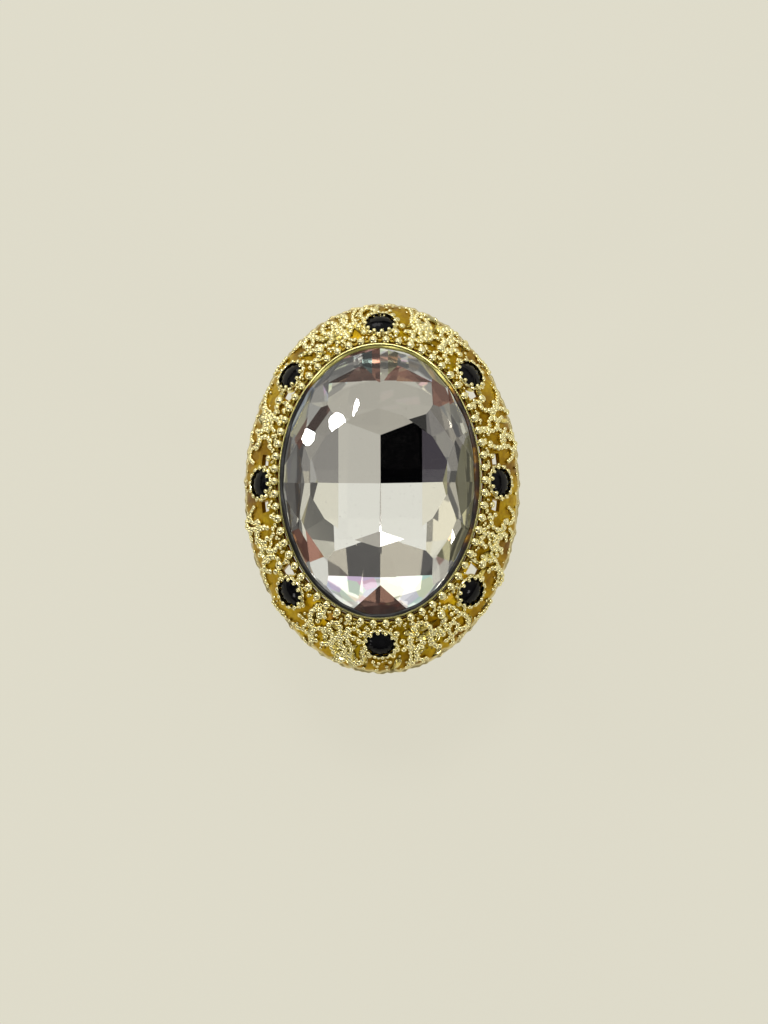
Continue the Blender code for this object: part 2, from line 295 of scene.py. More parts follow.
def gridShape(grid, wrapRows=False, poles=False, lift=None):
    # quads between neighbouring rows and columns of a grid of points; poles closes the first
    # and last rows with a fan to their centre
    rows, columns = grid.shape[:2]
    points = grid.reshape(-1, 3)
    lift = np.ones(len(points)) if lift is None else lift.reshape(-1)
    r = np.arange(rows if wrapRows else rows - 1)[:, None]
    c = np.arange(columns)[None, :]
    below = (r + 1) % rows
    beside = (c + 1) % columns
    quads = np.stack([
        r * columns + c, r * columns + beside, below * columns + beside, below * columns + c,
    ], -1)
    tris = np.zeros((0, 3), int)
    if poles:
        count = len(points)
        points = np.concatenate([points, grid[:1].mean(1), grid[-1:].mean(1)])
        lift = np.concatenate([lift, [lift[:columns].mean(), lift[-columns:].mean()]])
        i = np.arange(columns)
        j = (i + 1) % columns
        last = (rows - 1) * columns
        tris = np.concatenate([
            np.stack([j, i, np.full(columns, count)], -1),
            np.stack([last + i, last + j, np.full(columns, count + 1)], -1),
        ])
    return {"points": points, "quads": quads.reshape(-1, 4), "tris": tris, "lift": lift}


def joined(shapes):
    # several shapes as one, each one's faces counted on from the points before them
    starts = np.cumsum([0] + [len(shape["points"]) for shape in shapes])
    return {
        "points": np.concatenate([shape["points"] for shape in shapes]),
        "lift": np.concatenate([shape["lift"] for shape in shapes]),
        "quads": np.concatenate([shape["quads"] + start for shape, start in zip(shapes, starts)]),
        "tris": np.concatenate([shape["tris"] + start for shape, start in zip(shapes, starts)]),
    }


def placePiece(name, mesh, replaced):
    piece = added(name, mesh)
    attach(piece, "root")
    if replaced:
        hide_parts(*replaced)


def makePiece(name, shape, material, replaced=(), sharpDeg=50):
    # a mesh object on the root body, smooth except where faces meet more sharply than sharpDeg
    mesh = bpy.data.meshes.new(name)
    mesh.from_pydata(shape["points"].tolist(), [], shape["quads"].tolist() + shape["tris"].tolist())
    solid = bmesh.new()
    solid.from_mesh(mesh)
    bmesh.ops.recalc_face_normals(solid, faces=solid.faces)
    solid.to_mesh(mesh)
    solid.free()
    mesh.attributes.new("lift", "FLOAT", "POINT").data.foreach_set("value", shape["lift"].astype(np.float32))
    mesh.shade_smooth()
    mesh.set_sharp_from_angle(angle=math.radians(sharpDeg))
    mesh.materials.append(material)
    placePiece(name, mesh, replaced)


def ovalRing(offsets, heights, semiA, semiB, count, swell=0, wrapRows=True, poles=False):
    # a section of outward offsets and heights carried round an oval; swell adds to the offset
    # at each step of the turn
    out = np.array(offsets)[:, None] + swell
    grid = oval(semiA + out, semiB + out, np.array(heights)[:, None], aroundInto(count))
    return gridShape(grid * mm, wrapRows=wrapRows, poles=poles)


frameLow, frameHigh = (np.array(corner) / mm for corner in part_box("filigree_frame"))
bezelLow, bezelHigh = (np.array(corner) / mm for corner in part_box("bezel_cup"))
stoneHigh = np.array(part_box("centre_crystal")[1]) / mm

head = {
    "neckOut": 0.34,      # from the bezel's outside to where the dome starts to fall
    "seam": 0.06,
    "spring": 12.2,       # height where the slope meets the upright skirt
    "power": 1.65,        # 1 gives a round dome, 2 a straight bevel
    "wall": 0.7,
    "columns": 720,
    # shares of the slope where the shell has a row of points
    "rows": [
        0, 0.035, 0.07, 0.12, 0.18, 0.25, 0.3, 0.35, 0.41, 0.47, 0.54, 0.62, 0.7, 0.78, 0.86, 0.92, 0.965,
        0.99, 1.0,
    ],
    # turn, in degrees, and share of the slope covered by each see-through window
    "windows": [(6.5, 10.5, 0.25, 0.47), (33.5, 38.5, 0.12, 0.41)],
}
neckA, neckB = bezelHigh[0] + head["neckOut"], bezelHigh[1] + head["neckOut"]
rimA, rimB = frameHigh[0], frameHigh[1]
domeTop, skirtLow = frameHigh[2], frameLow[2]


def domeAt(turn, share, sink=0.0):
    # share 0 is the neck beside the bezel and 1 the rim; the height falls as a power curve
    share = np.clip(share, -0.2, 1.0)
    inner = np.clip(share, 0.0, 1.0)
    fall = np.clip(1 - inner ** (2 / head["power"]), 0, 1) ** (head["power"] / 2)
    z = head["spring"] + (domeTop - head["spring"] - sink) * fall
    return oval(neckA + (rimA - neckA - sink) * share, neckB + (rimB - neckB - sink) * share, z, turn)


def domeNormal(turn, share):
    # the cross product of two short steps, one round the dome and one down it
    step = 1e-3
    share = np.clip(share, 0.02, 0.97)
    along = domeAt(turn + step, share) - domeAt(turn - step, share)
    down = domeAt(turn, share + step) - domeAt(turn, share - step)
    normal = np.cross(down, along)
    return normal / np.linalg.norm(normal, axis=-1, keepdims=True)


def planToDome(plan):
    # halving search for the share at which the oval passes through each plan point
    x, y = plan[..., 0], plan[..., 1]

    def scaled(share):
        return x / (neckA + share * (rimA - neckA)), y / (neckB + share * (rimB - neckB))

    low, high = np.full(x.shape, -0.2), np.full(x.shape, 1.0)
    for _ in range(30):
        middle = (low + high) / 2
        u, v = scaled(middle)
        outside = u ** 2 + v ** 2 > 1
        low, high = np.where(outside, middle, low), np.where(outside, high, middle)
    u, v = scaled(low)
    return np.arctan2(v, u), low


def onDome(plan, lift=0.0):
    # plan points dropped on the dome and lifted along its normals
    turn, share = planToDome(np.asarray(plan, float))
    normal = domeNormal(turn, share)
    return domeAt(turn, share) + normal * np.asarray(lift)[..., None], normal


def smoothPath(knots, count):
    # a curve through every knot, each span a cubic leaning on its two neighbours
    knots = np.asarray(knots, float)
    padded = np.concatenate([2 * knots[:1] - knots[1:2], knots, 2 * knots[-1:] - knots[-2:-1]])
    place = np.linspace(0, len(knots) - 1, count)
    span = np.minimum(place.astype(int), len(knots) - 2)
    t = (place - span)[:, None]
    p0, p1, p2, p3 = (padded[span + i] for i in range(4))
    return 0.5 * (
        2 * p1 + (p2 - p0) * t + (2 * p0 - 5 * p1 + 4 * p2 - p3) * t * t
        + (3 * p1 - p0 - 3 * p2 + p3) * t ** 3
    )


quarterSigns = ((1, 1), (-1, 1), (-1, -1), (1, -1))


def quarters(path):
    # a plan path of the first quarter and its three mirror images, each very slightly moved
    return [np.asarray(path, float) * sides + chance.normal(0, 0.05, 2) for sides in quarterSigns]


def beadShapes(centres, normals, radii, squash=0.9, sides=8, rings=5, lowLift=0.45):
    # one ball of latitude rings, copied to every centre and turned to every normal together
    latitude = np.linspace(-math.pi / 2, math.pi / 2, rings + 1)[1:-1, None]
    level = np.cos(latitude)
    ball = gridShape(oval(level, level, np.sin(latitude) * squash, aroundInto(sides)), poles=True)
    flat = ball["points"]
    flat[-2:] = [[0, 0, -squash], [0, 0, squash]]
    helper = np.where(np.abs(normals[:, 2:3]) < 0.9, [[0, 0, 1]], [[1, 0, 0]])
    first = np.cross(normals, helper)
    first /= np.linalg.norm(first, axis=1, keepdims=True)
    basis = np.stack([first, np.cross(normals, first), normals], 1)
    points = centres[:, None] + np.einsum("nij,njk->nik", flat[None] * radii[:, None, None], basis)
    # each bead's lift rises from lowLift at its underside to 1 at its top: painted shade below and a painted
    # highlight on top
    height = np.clip((flat[:, 2] / squash + 1) / 2, 0, 1)
    start = (np.arange(len(centres)) * len(flat))[:, None, None]
    return {
        "points": points.reshape(-1, 3) * mm,
        "quads": (ball["quads"][None] + start).reshape(-1, 4),
        "tris": (ball["tris"][None] + start).reshape(-1, 3),
        "lift": np.tile(lowLift + (1 - lowLift) * height, len(centres)),
    }


def beadsOnDome(plan, radii, raised, **options):
    centres, normals = onDome(plan, radii * raised)
    return beadShapes(centres, normals, radii, **options)


def bodyOnDome(path, width, height, stations=20, around=14, ribs=0, ribDepth=0.0, taper=(0.5, 0.5)):
    # a raised body laid along a plan path: a flattened round section, narrowed to both ends,
    # its top optionally ploughed with lengthwise ribs and its underside sunk in the dome
    embed = 0.12
    plan = smoothPath(path, stations)
    centres, normals = onDome(plan)
    along = np.gradient(centres, axis=0)
    along /= np.linalg.norm(along, axis=1, keepdims=True)
    side = np.cross(normals, along)
    u = np.linspace(0, 1, stations)
    narrow = np.clip(np.minimum(u / taper[0], (1 - u) / taper[1]), 0, 1)
    narrow = 0.12 + 0.88 * np.sin(narrow * math.pi / 2)
    phi = aroundInto(around)
    across = np.cos(phi)[None, :] * (width * narrow)[:, None]
    top = np.clip(np.sin(phi), 0, 1) ** 0.8
    plough = 1 - ribDepth * (0.5 - 0.5 * np.cos(np.cos(phi) * math.pi * ribs)) if ribs else 1
    high = (top * plough)[None, :] * (height * narrow)[:, None] - embed * np.clip(-np.sin(phi), 0, 1)
    grid = centres[:, None] + side[:, None] * across[..., None] + normals[:, None] * high[..., None]
    # the lift rises from the body's base to its top: painted shade on the low sides and a painted highlight along
    # the top
    lift = 0.25 + 0.75 * np.clip(high / height, 0, 1)
    return gridShape(grid * mm, poles=True, lift=lift)


def strandOnDome(path, radius, pitch, core):
    # grains set along a path like beaded wire, on a thinner core
    fine = smoothPath(path, 200)
    length = np.concatenate([[0], np.cumsum(np.linalg.norm(np.diff(onDome(fine)[0], axis=0), axis=1))])
    count = max(2, int(round(length[-1] / pitch)) + 1)
    place = np.linspace(0, length[-1], count)
    plan = np.stack([np.interp(place, length, fine[:, k]) for k in (0, 1)], -1)
    sizes = radius * (1 + chance.uniform(-0.12, 0.12, count))
    grains = beadsOnDome(plan, sizes, 0.45)
    cord = bodyOnDome(path, radius * core, radius * core, stations=16, around=6, taper=(0.1, 0.1))
    return joined([grains, cord])


print("helpers ready")


def makeShell():
    # one closed section goes down the outside of the dome and back up the inside, carried
    # round the oval; window cells are left out of both faces and walled between them
    shares = np.array(head["rows"])
    turn = aroundInto(head["columns"])
    wall = head["wall"]

    def ring(a, b, z):
        return oval(a, b, z, turn)[None]

    edgeA, edgeB = bezelHigh[0] + head["seam"], bezelHigh[1] + head["seam"]
    outer = domeAt(turn[None, :], shares[:, None])
    inner = domeAt(turn[None, :], shares[::-1][:, None], wall)
    grid = np.concatenate([
        ring(edgeA, edgeB, domeTop - 0.03), ring(edgeA + 0.03, edgeB + 0.03, domeTop), outer,
        ring(rimA, rimB, skirtLow + 0.12), ring(rimA - 0.12, rimB - 0.12, skirtLow),
        ring(rimA - wall, rimB - wall, skirtLow), inner, ring(edgeA, edgeB, domeTop - wall),
    ])
    # low, uneven swellings of the casting, strongest near the rim
    lump = 0.05 * np.sin(31 * turn + 1.3) + 0.04 * np.sin(47 * turn) + 0.03 * np.sin(83 * turn + 2)
    near = np.zeros(len(grid))
    near[2:2 + len(shares) + 2] = np.concatenate([shares ** 4, [1.0, 1.0]])
    grid[..., :2] *= (1 + near[:, None] * lump / 14)[..., None]
    # the lacquer's "lift": crease within 0.12 of the neck, rubbed gold from 0.93 to the rim
    paint = np.zeros(len(grid))
    fromNeck = smoothStep(np.clip(shares / 0.12, 0, 1))
    nearRim = smoothStep(np.clip((shares - 0.93) / 0.07, 0, 1))
    paint[2:2 + len(shares)] = 0.05 + 0.45 * fromNeck + 0.5 * nearRim
    paint[2 + len(shares):5 + len(shares)] = 1.0
    paint[5 + len(shares):-1] = 0.5
    shape = gridShape(grid * mm, wrapRows=True, lift=paint[:, None] + 0 * grid[..., 0])
    rowCount, columns = grid.shape[:2]
    firstOuter = 2
    lastInner = firstOuter + len(shares) + 3 + len(shares) - 1
    keep = np.ones((rowCount, columns), bool)
    walls = []
    perDegree = columns / 360
    for startDeg, endDeg, startShare, endShare in head["windows"]:
        top = int(np.argmin(np.abs(shares - startShare)))
        bottom = int(np.argmin(np.abs(shares - endShare)))
        for base, way in ((0, 1), (180, -1), (180, 1), (360, -1)):
            low, high = sorted((base + way * startDeg, base + way * endDeg))
            left, right = int(round(low * perDegree)), int(round(high * perDegree))
            across = np.arange(left, right) % columns
            keep[firstOuter + top:firstOuter + bottom, across] = False
            keep[lastInner - bottom:lastInner - top, across] = False
            downs = np.arange(top, bottom)
            for row in (top, bottom):
                a, b = across, (across + 1) % columns
                out, back = (firstOuter + row) * columns, (lastInner - row) * columns
                walls.append(np.stack([out + a, out + b, back + b, back + a], -1))
            for column in (left % columns, right % columns):
                a, b = downs, downs + 1
                walls.append(np.stack([
                    (firstOuter + a) * columns + column, (firstOuter + b) * columns + column,
                    (lastInner - b) * columns + column, (lastInner - a) * columns + column,
                ], -1))
    shape["quads"] = np.concatenate([shape["quads"][keep.reshape(-1)]] + walls)
    return shape


makePiece("piercedDome", makeShell(), lacquer, ["filigree_frame"], 40)

# a thin, slightly lumpy wire round the rim
rimWire = {"radius": 0.15, "inset": 0.04, "drop": 0.16}
phi = aroundInto(12)
rimTurn = aroundInto(480)
rimSwell = 0.045 * np.sin(43 * rimTurn) + 0.04 * np.sin(71 * rimTurn + 1) + 0.035 * np.sin(120 * rimTurn)
rimOffsets = rimWire["radius"] * np.cos(phi) - rimWire["inset"]
rimHeights = head["spring"] - rimWire["drop"] + rimWire["radius"] * np.sin(phi)
makePiece("rimWire", ovalRing(rimOffsets, rimHeights, rimA, rimB, 480, rimSwell), rimGold)
print("dome made")


# relief of one quarter in plan, in millimetres: beads as (x, y, radius), strands and leaves as
# paths; the scattered scrolls and leaves are drawn over the whole oval
relief = {
    "scrolls": 96,
    "scatteredLeaves": 70,
    "chain": [
        (1.5, 14.05, 0.36), (2.02, 14.7, 0.34), (1.52, 15.38, 0.33), (1.15, 15.95, 0.27),
        (0.84, 16.5, 0.22), (0.5, 16.9, 0.18),
    ],
    "bigBeads": [
        (5.47, 12.25, 0.46), (5.75, 12.75, 0.3), (6.3, 13.05, 0.26), (6.45, 12.2, 0.25), (9.2, 7.6, 0.47),
        (8.6, 7.4, 0.2), (9.28, 8.85, 0.25), (10.2, 2.2, 0.31), (10.0, 3.15, 0.25), (9.84, 4.28, 0.25),
        (3.35, 15.2, 0.3), (7.75, 13.2, 0.22), (2.95, 13.55, 0.28), (7.1, 11.3, 0.27), (9.95, 1.25, 0.2),
        (10.05, 0.45, 0.22),
    ],
    "strands": [
        [
            (9.75, 4.8), (10.05, 5.25), (10.0, 5.7), (10.25, 6.15), (10.15, 6.65), (10.48, 6.95),
            (10.75, 7.43), (10.8, 8.2), (10.72, 8.8), (10.5, 9.2),
        ],
        [(11.47, 5.2), (11.27, 4.5), (11.15, 4.0), (11.3, 3.7), (11.55, 3.4)],
        [(11.16, 6.41), (10.8, 5.95), (10.78, 5.35), (11.07, 5.1)],
        [(5.9, 14.5), (6.45, 14.1), (6.98, 13.6), (7.53, 13.3), (8.05, 12.9)],
        [(5.35, 13.5), (4.75, 13.9), (4.44, 14.42), (4.54, 14.95)],
        [(3.75, 14.75), (3.3, 15.2), (3.28, 15.85), (3.62, 16.2), (4.1, 16.05)],
        [(6.6, 12.8), (6.25, 13.45), (6.55, 13.95), (6.6, 14.4)],
        [(2.5, 16.6), (2.75, 15.9), (2.65, 15.2), (2.9, 14.5)],
        [(8.9, 12.2), (9.55, 11.5), (10.05, 10.8)],
        [(7.4, 12.1), (7.0, 12.45), (6.6, 12.8), (7.05, 13.1)],
        [(11.75, 2.15), (12.1, 2.6), (12.1, 3.2), (11.75, 3.6), (11.35, 3.45)],
        [(11.95, 5.1), (12.1, 4.6), (11.85, 4.2)],
    ],
    "tail": [(8.25, 7.2), (8.6, 7.4), (9.1, 7.6)],
    "leaves": [
        [(3.35, 13.55), (4.1, 13.32), (5.2, 12.72)],
        [(3.75, 14.1), (4.5, 13.85), (5.5, 13.2)],
        [(2.6, 13.75), (3.2, 13.9), (3.9, 14.35)],
        [(8.75, 8.95), (9.3, 8.15), (9.85, 7.7)],
    ],
}


cups = {
    # turn round the oval and distance down the dome's slope, both in degrees
    "places": [(90, 35), (42, 38), (0, 35.6), (-42, 38), (-90, 35), (-138, 38), (180, 35.6), (138, 38)],
    # outlines turned about a cup's own axis, as (radius, height above the dome)
    "body": [
        (0.9, -0.98), (0.9, -0.42), (1.56, -0.42), (1.6, -0.3), (1.6, 0.05), (1.66, 0.14), (1.64, 0.25),
        (1.52, 0.34), (1.44, 0.3), (1.42, 0.1), (1.42, -0.18),
    ],
    "stone": [(1.36, -0.14), (1.36, 0.04), (1.22, 0.2), (0.98, 0.35), (0.66, 0.46), (0.3, 0.52)],
    "flutes": 12,
    "teeth": 12,
}


def cupPlace(turnDeg, slopeDeg):
    return np.array(math.radians(turnDeg)), np.array(math.sin(math.radians(slopeDeg)) ** head["power"])


def offWindows(turn, share, marginDeg):
    # true where a dome point isn't over a window or its margin
    degrees = np.degrees(turn) % 180
    mirrored = np.minimum(degrees, 180 - degrees)
    clear = np.ones(share.shape, bool)
    for startDeg, endDeg, startShare, endShare in head["windows"]:
        across = (mirrored > startDeg - marginDeg) & (mirrored < endDeg + marginDeg)
        clear &= ~(across & (share > startShare - 0.06) & (share < endShare + 0.06))
    return clear


def isClear(plan, reach):
    # true if a whole path keeps its distance from every cup and window
    turn, share = planToDome(plan)
    clear = offWindows(turn, share, 1)
    for turnDeg, slopeDeg in cups["places"]:
        centre = domeAt(*cupPlace(turnDeg, slopeDeg))
        clear &= np.linalg.norm(domeAt(turn, share) - centre, axis=-1) > reach
    return clear.all()


def scatteredScrolls():
    # small open scrolls, each an arc whose radius shrinks along its length
    paths = []
    count = relief["scrolls"]
    turns = aroundInto(count) + chance.normal(0, 0.03, count)
    shares = np.tile([0.34, 0.68, 0.5], count)[:count] + chance.normal(0, 0.04, count)
    starts = chance.uniform(0, 2 * math.pi, count)
    for turn, share, start in zip(turns, shares, starts):
        middle = domeAt(np.array(turn), np.array(share))[:2]
        bend = np.linspace(start, start + 3.6, 9)
        radius = np.linspace(0.8, 0.55, 9)
        path = middle + np.stack([radius * np.cos(bend), radius * np.sin(bend)], -1)
        if isClear(path, 1.85):
            paths.append(path)
    return paths


def scatteredLeaves():
    # short ribbed leaves lying any way, thickest over the two ends of the oval
    paths = []
    count = relief["scatteredLeaves"]
    side = np.where(np.arange(count) % 2 == 0, 1, -1)
    turns = side * (math.pi / 2 + chance.normal(0, 0.62, count))
    shares = chance.uniform(0.22, 0.88, count)
    ways = chance.uniform(0, 2 * math.pi, count)
    for turn, share, way in zip(turns, shares, ways):
        middle = domeAt(np.array(turn), np.array(share))[:2]
        # the leaf's own axis and its bow to one side, turned to lie the given way
        axis = np.linspace(-0.75, 0.75, 5)
        bow = 0.22 * (1 - (axis / 0.75) ** 2)
        path = middle + np.stack([
            axis * np.cos(way) - bow * np.sin(way), axis * np.sin(way) + bow * np.cos(way),
        ], -1)
        if isClear(path, 1.95):
            paths.append(path)
    return paths


def makeRelief():
    shapes = []
    chain = np.array(relief["chain"])
    for plan in quarters(chain[:, :2]):
        shapes.append(beadsOnDome(plan, chain[:, 2], 0.4, sides=12, rings=8))
    big = np.array(relief["bigBeads"])
    for plan in quarters(big[:, :2]):
        radii = big[:, 2] * chance.uniform(0.92, 1.08, len(big))
        shapes.append(beadsOnDome(plan, radii, 0.42, sides=12, rings=8))
    for strand in relief["strands"]:
        for path in quarters(strand):
            shapes.append(strandOnDome(path, 0.235, 0.37, 0.75))
    for path in scatteredScrolls():
        shapes.append(strandOnDome(path, 0.3, 0.5, 0.72))
    for path in scatteredLeaves():
        wide = chance.uniform(0.26, 0.4)
        shapes.append(bodyOnDome(path, wide, wide, 12, 24, ribs=4, ribDepth=0.4, taper=(0.3, 0.75)))
    for leaf in relief["leaves"]:
        for path in quarters(leaf):
            shapes.append(bodyOnDome(path, 0.36, 0.34, 22, 32, ribs=5, ribDepth=0.5, taper=(0.35, 0.8)))
    for tail in quarters(relief["tail"]):
        shapes.append(bodyOnDome(tail, 0.2, 0.26, taper=(0.7, 0.05)))
    return joined(shapes)


makePiece("reliefWork", makeRelief(), reliefGold)


grains = {"inner": 150, "outer": 130, "scatter": 170}


def makeGrains():
    # loose grains: a crowded inner row beside the beaded border, a thin row along the rim,
    # and a scatter over the two ends of the oval
    inner, outer, scatter = grains["inner"], grains["outer"], grains["scatter"]
    innerTurn = aroundInto(inner) + chance.normal(0, 0.008, inner)
    innerShare = 0.115 + chance.normal(0, 0.03, inner)
    outerTurn = aroundInto(outer) + chance.normal(0, 0.018, outer)
    outerShare = 0.93 + chance.normal(0, 0.025, outer)
    side = np.where(chance.random(scatter) < 0.5, 1, -1)
    scatterTurn = side * (math.pi / 2 + chance.normal(0, 0.42, scatter))
    scatterShare = chance.uniform(0.15, 0.85, scatter)
    turn = np.concatenate([innerTurn, outerTurn, scatterTurn])
    share = np.concatenate([innerShare, outerShare, scatterShare])
    radii = np.concatenate([chance.uniform(0.16, 0.28, inner), chance.uniform(0.1, 0.2, outer + scatter)])
    normals = domeNormal(turn, share)
    centres = domeAt(turn, share) + normals * (radii * 0.35)[:, None]
    clear = offWindows(turn, share, 0.8)
    return beadShapes(centres[clear], normals[clear], radii[clear], lowLift=0.35)


makePiece("looseGrains", makeGrains(), reliefGold)
print("relief made")


border = {
    "beads": 62, "radius": 0.42, "out": 0.33, "height": 0.42,
    "wire": 0.14,
    "grains": 124, "grainRadius": 0.15, "grainOut": 0.34,
    "foot": 0.12,     # height of the wire and the grains above the dome's top
}


def makeBorder():
    # a ring of beads on a wire, with a row of small grains along its outer side
    a, b = bezelHigh[0] + border["out"], bezelHigh[1] + border["out"]
    # even spacing: the turn as a function of the length along the oval
    fine = np.linspace(0, 2 * math.pi, 4001)
    step = np.hypot(a * np.sin(fine), b * np.cos(fine))
    length = np.concatenate([[0], np.cumsum((step[1:] + step[:-1]) / 2)])

    def rowOfBeads(count, out, height, upright, radii, **options):
        turn = np.interp(np.arange(count) / count * length[-1], length, fine)
        centres = oval(a + out, b + out, domeTop + height, turn)
        normals = oval(b, a, upright, turn)
        normals /= np.linalg.norm(normals, axis=1, keepdims=True)
        return beadShapes(centres, normals, radii, **options)

    count, few = border["beads"], border["grains"]
    radii = border["radius"] * chance.uniform(0.93, 1.06, count)
    small = np.full(few, border["grainRadius"])
    wireHeight = domeTop + border["foot"] + border["wire"] * np.sin(phi)
    wire = ovalRing(border["wire"] * np.cos(phi), wireHeight, a, b, 360)
    # the wire gets a low lift, so it is darker: painted shade between the beads
    wire["lift"] = np.full(len(wire["points"]), 0.35)
    return joined([
        rowOfBeads(count, 0, border["height"], 8.0, radii, squash=0.95, sides=14, rings=9, lowLift=0.5),
        wire,
        rowOfBeads(few, border["grainOut"], border["foot"], 12.0, small, squash=1.3, sides=6, rings=4, lowLift=0.4),
    ])


makePiece("beadedBorder", makeBorder(), reliefGold, ["beaded_border"])
print("border made")


stoneA, stoneB = stoneHigh[0], stoneHigh[1]
bezel = {"gap": 0.25, "ledge": 15.2, "floor": 11.1, "ledgeWidth": 0.45}
girdle = {"low": 16.1, "high": 16.55}


def makeBezel():
    # up the outside of the cup, over its lip and down inside, past the ledge under the girdle;
    # offsets are from the outside of the wall
    wallIn = (stoneA + bezel["gap"]) - bezelHigh[0]
    bottom, top = bezelLow[2], bezelHigh[2]
    section = [
        (-0.5, bottom), (-0.35, bottom + 0.05), (-0.1, bottom + 0.32), (0.0, bottom + 0.55),
        (0.0, top - 0.06), (-0.02, top - 0.02), (-0.05, top), (wallIn + 0.04, top), (wallIn, top - 0.03),
        (wallIn, bezel["ledge"]), (wallIn - bezel["ledgeWidth"], bezel["ledge"]),
        (wallIn - bezel["ledgeWidth"], bezel["floor"]),
    ]
    offsets, heights = zip(*section)
    return ovalRing(offsets, heights, bezelHigh[0], bezelHigh[1], 288, wrapRows=False, poles=True)


makePiece("bezelCup", makeBezel(), bezelGold, ["bezel_cup"], 35)


cementLow = 15.27


def makeCementShape():
    # fills the groove, and creeps a varying way over the crystal's edge
    turn = aroundInto(360)
    level = 0 * turn
    creep = 0.07 + 0.17 * np.clip(np.cos(turn + 0.15), 0, 1) ** 2 + 0.16 * np.clip(np.cos(turn - 3.9), 0, 1) ** 3
    creep = creep + 0.035 * np.sin(9 * turn + 1) + 0.025 * np.sin(23 * turn)
    creep = np.clip(creep, 0.03, 0.5)
    # bare gold towards +Y, patchy towards +X
    bare = 0.95 * smoothStep(np.clip((np.sin(turn) - 0.55) / 0.3, 0, 1))
    bare = bare + 0.42 * np.clip(np.cos(turn - 0.1), 0, 1) ** 2
    outer, top = bezel["gap"] - 0.01, girdle["high"]
    rows = [
        (outer + level, cementLow + level), (outer + level, top + 0.12 + 0.3 * creep),
        (0.05 + level, top + 0.1 + 0.55 * creep), (-creep * 0.6, top + 0.06 + 0.85 * creep),
        (-creep, top + 0.02 + 0.8 * creep), (0.04 + level, girdle["low"] + level),
        (0.04 + level, cementLow + level),
    ]
    grid = np.stack([oval(stoneA + out, stoneB + out, high, turn) for out, high in rows])
    return gridShape(grid * mm, wrapRows=True, lift=bare[None] + 0 * grid[..., 0])


# the black cement line, partly painted shade in the gap between crystal and bezel
makePiece("cementAndShadeLine", makeCementShape(), cement, ["cement_ring"], 60)
print("bezel made")


crystal = {
    "block": 96,           # sides of the block before cutting
    # painted glow of the mirror coat, for most painted tones and for four of their own
    "paintedGlow": 0.085,
    "ownGlow": {"bare": 0.0, "night": 0.0, "dawn": 0.15, "blaze": 0.55},
    "paintedTones": {
        "clear": (0.93, 0.935, 0.915),
        "soft": (0.80, 0.79, 0.76),
        "cream": (0.90, 0.88, 0.79),
        "dusk": (0.56, 0.54, 0.51),
        "bare": (0.90, 0.90, 0.91),
        "rust": (0.52, 0.27, 0.21),
        "umber": (0.30, 0.17, 0.14),
        "blaze": (0.98, 0.98, 0.97),   # painted reflection of a bright light on the facets towards -Y
        "dawn": (0.94, 0.91, 0.82),
        "slate": (0.22, 0.30, 0.31),
        "night": (0.12, 0.12, 0.13),
        "olive": (0.66, 0.63, 0.42),
        "sky": (0.62, 0.72, 0.92),
        "peach": (0.97, 0.80, 0.62),
    },
    # pavilion facets of one quarter as (slope in x, slope in y, depth at the centre) and the painted tones, painted
    # reflections light and dark, in the quarters +x+y, -x+y, -x-y, +x-y
    "pavilion": [
        (0.150, 0.100, 3.300, ("night", "dawn", "clear", "clear")),
        (0.000, 0.1015, 3.2955, (None, None, "dusk", None)),    # hair-thin flat along the keel
        (0.290, 0.100, 3.846, ("bare", "dusk", "cream", "cream")),
        (0.340, 0.134, 4.278, ("dusk", "umber", None, None)),
        (0.500, 0.048, 5.064, ("olive", "soft", "dusk", "olive")),
        (0.085, 0.280, 4.110, ("dawn", "dawn", "dusk", "dusk")),
        (0.085, 0.330, 4.530, (None, None, "blaze", "blaze")),
        (0.428, 0.193, 5.135, ("cream", "clear", "rust", "olive")),
        (0.385, 0.280, 5.490, ("rust", "soft", "clear", "soft")),
        (0.085, 0.340, 4.656, ("rust", "umber", None, None)),
        (0.035, 0.370, 4.911, ("cream", "rust", None, None)),
        (0.055, 0.370, 4.926, ("olive", "slate", None, None)),
        (0.100, 0.370, 5.000, ("soft", "soft", None, None)),
        (0.035, 0.380, 4.990, (None, None, "umber", "umber")),
    ],
    # crown facets of one quarter as (direction in x, direction in y, tilt, reach at table height)
    "crown": [
        (1.0, 0.0, 40.4, 6.30), (0.59, 0.81, 22.9, 5.98), (0.0, 1.0, 21.3, 6.60),
        (0.86, 0.51, 21.0, 6.20), (0.30, 0.954, 15.0, 6.15),
    ],
    # sixteen small facets above and below the girdle, counted from +X towards +Y; the upper ones are steepest
    # towards X, and the lower ones have their own painted tones, painted reflections and coloured glints
    "skirtDeg": 50,
    "skirt": [
        "soft", "clear", "olive", "clear", "rust", "clear", "sky", "soft",
        "clear", "peach", "clear", "rust", "clear", "soft", "sky", "clear",
    ],
}


def cutGem(solid, point, normal, number):
    # grinds off what lies beyond a plane and closes the cut with one facet
    geometry = solid.verts[:] + solid.edges[:] + solid.faces[:]
    cut = bmesh.ops.bisect_plane(
        solid, geom=geometry, dist=1e-9, plane_co=Vector(point) * mm, plane_no=Vector(normal), clear_outer=True
    )
    edges = [item for item in cut["geom_cut"] if isinstance(item, bmesh.types.BMEdge)]
    if len(edges) > 2:
        made = bmesh.ops.contextual_create(solid, geom=edges)
        for face in made["faces"]:
            face.material_index = number


def cutTilted(solid, out, tiltDeg, point, number=0):
    # a facet leaning outward by tiltDeg from flat, or from face down when the tilt is past 90
    tilt = math.radians(tiltDeg)
    cutGem(solid, point, out * math.sin(tilt) + Vector((0, 0, math.cos(tilt))), number)


